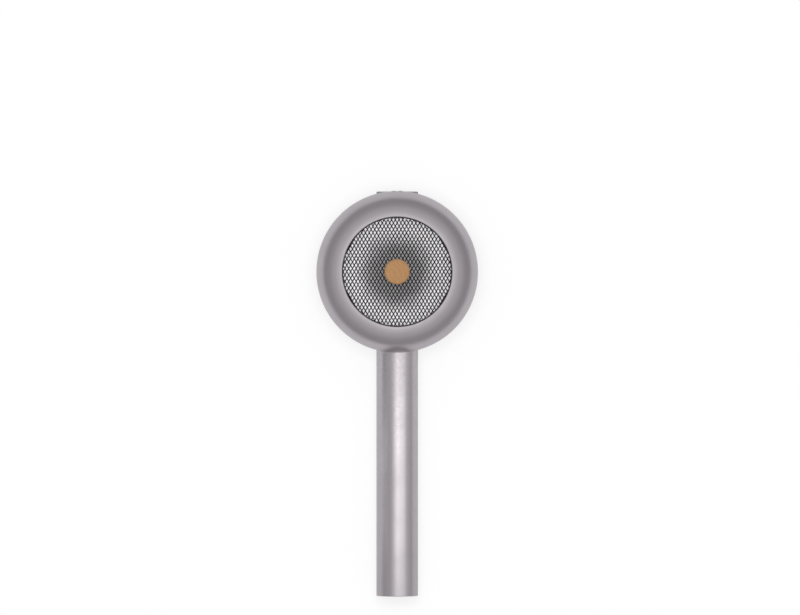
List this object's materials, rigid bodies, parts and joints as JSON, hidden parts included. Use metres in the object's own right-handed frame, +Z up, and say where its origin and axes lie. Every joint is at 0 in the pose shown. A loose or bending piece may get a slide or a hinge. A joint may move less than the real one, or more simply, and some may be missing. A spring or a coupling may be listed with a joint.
{
  "type": "campfire popcorn popper",
  "caption": "Round steel pan with a hinged dome lid, a diamond mesh window, a wooden knob and a long tube handle that takes a stick, for popping corn over a fire.",
  "frame": {"origin": "centre of the pan's flat base, on the surface that the pan stands on", "axes": "+Z up through the knob, -Y along the handle to its open end, +Y to the lid's hinge, +X along the hinge pin"},
  "size_m": [0.1148, 0.2884, 0.0676],
  "materials": {
    "pan_steel": "satin",
    "lid_steel": "satin",
    "handle_steel": "satin",
    "bracket_steel": "satin",
    "rivet_steel": "bright",
    "dark_mesh": "satin dark",
    "knob_wood": "oiled",
    "insert_brass": "turned"
  },
  "bodies": {
    "pan": {"pan_bowl": "pan_steel", "handle_bracket": "bracket_steel", "bracket_rivets": "rivet_steel", "handle_tube": "handle_steel", "tube_rivets": "rivet_steel", "hinge_pan_leaf": "bracket_steel", "hinge_pan_rivets": "rivet_steel", "hinge_pin": "rivet_steel"},
    "lid": {"hinge_lid_leaf": "bracket_steel", "hinge_lid_rivets": "rivet_steel", "lid_ring": "lid_steel", "lid_mesh": "dark_mesh", "mesh_retainer": "bracket_steel", "knob": "knob_wood", "knob_insert": "insert_brass", "knob_screw": "rivet_steel", "knob_top_washer": "rivet_steel", "knob_bottom_washer": "rivet_steel"}
  },
  "joints": [
    {"name": "lid_hinge", "type": "hinge", "parent": "pan", "child": "lid", "pos_m": [0, 0.0552, 0.0302], "axis": [-1, 0, 0], "range_deg": [0, 165]}
  ]
}
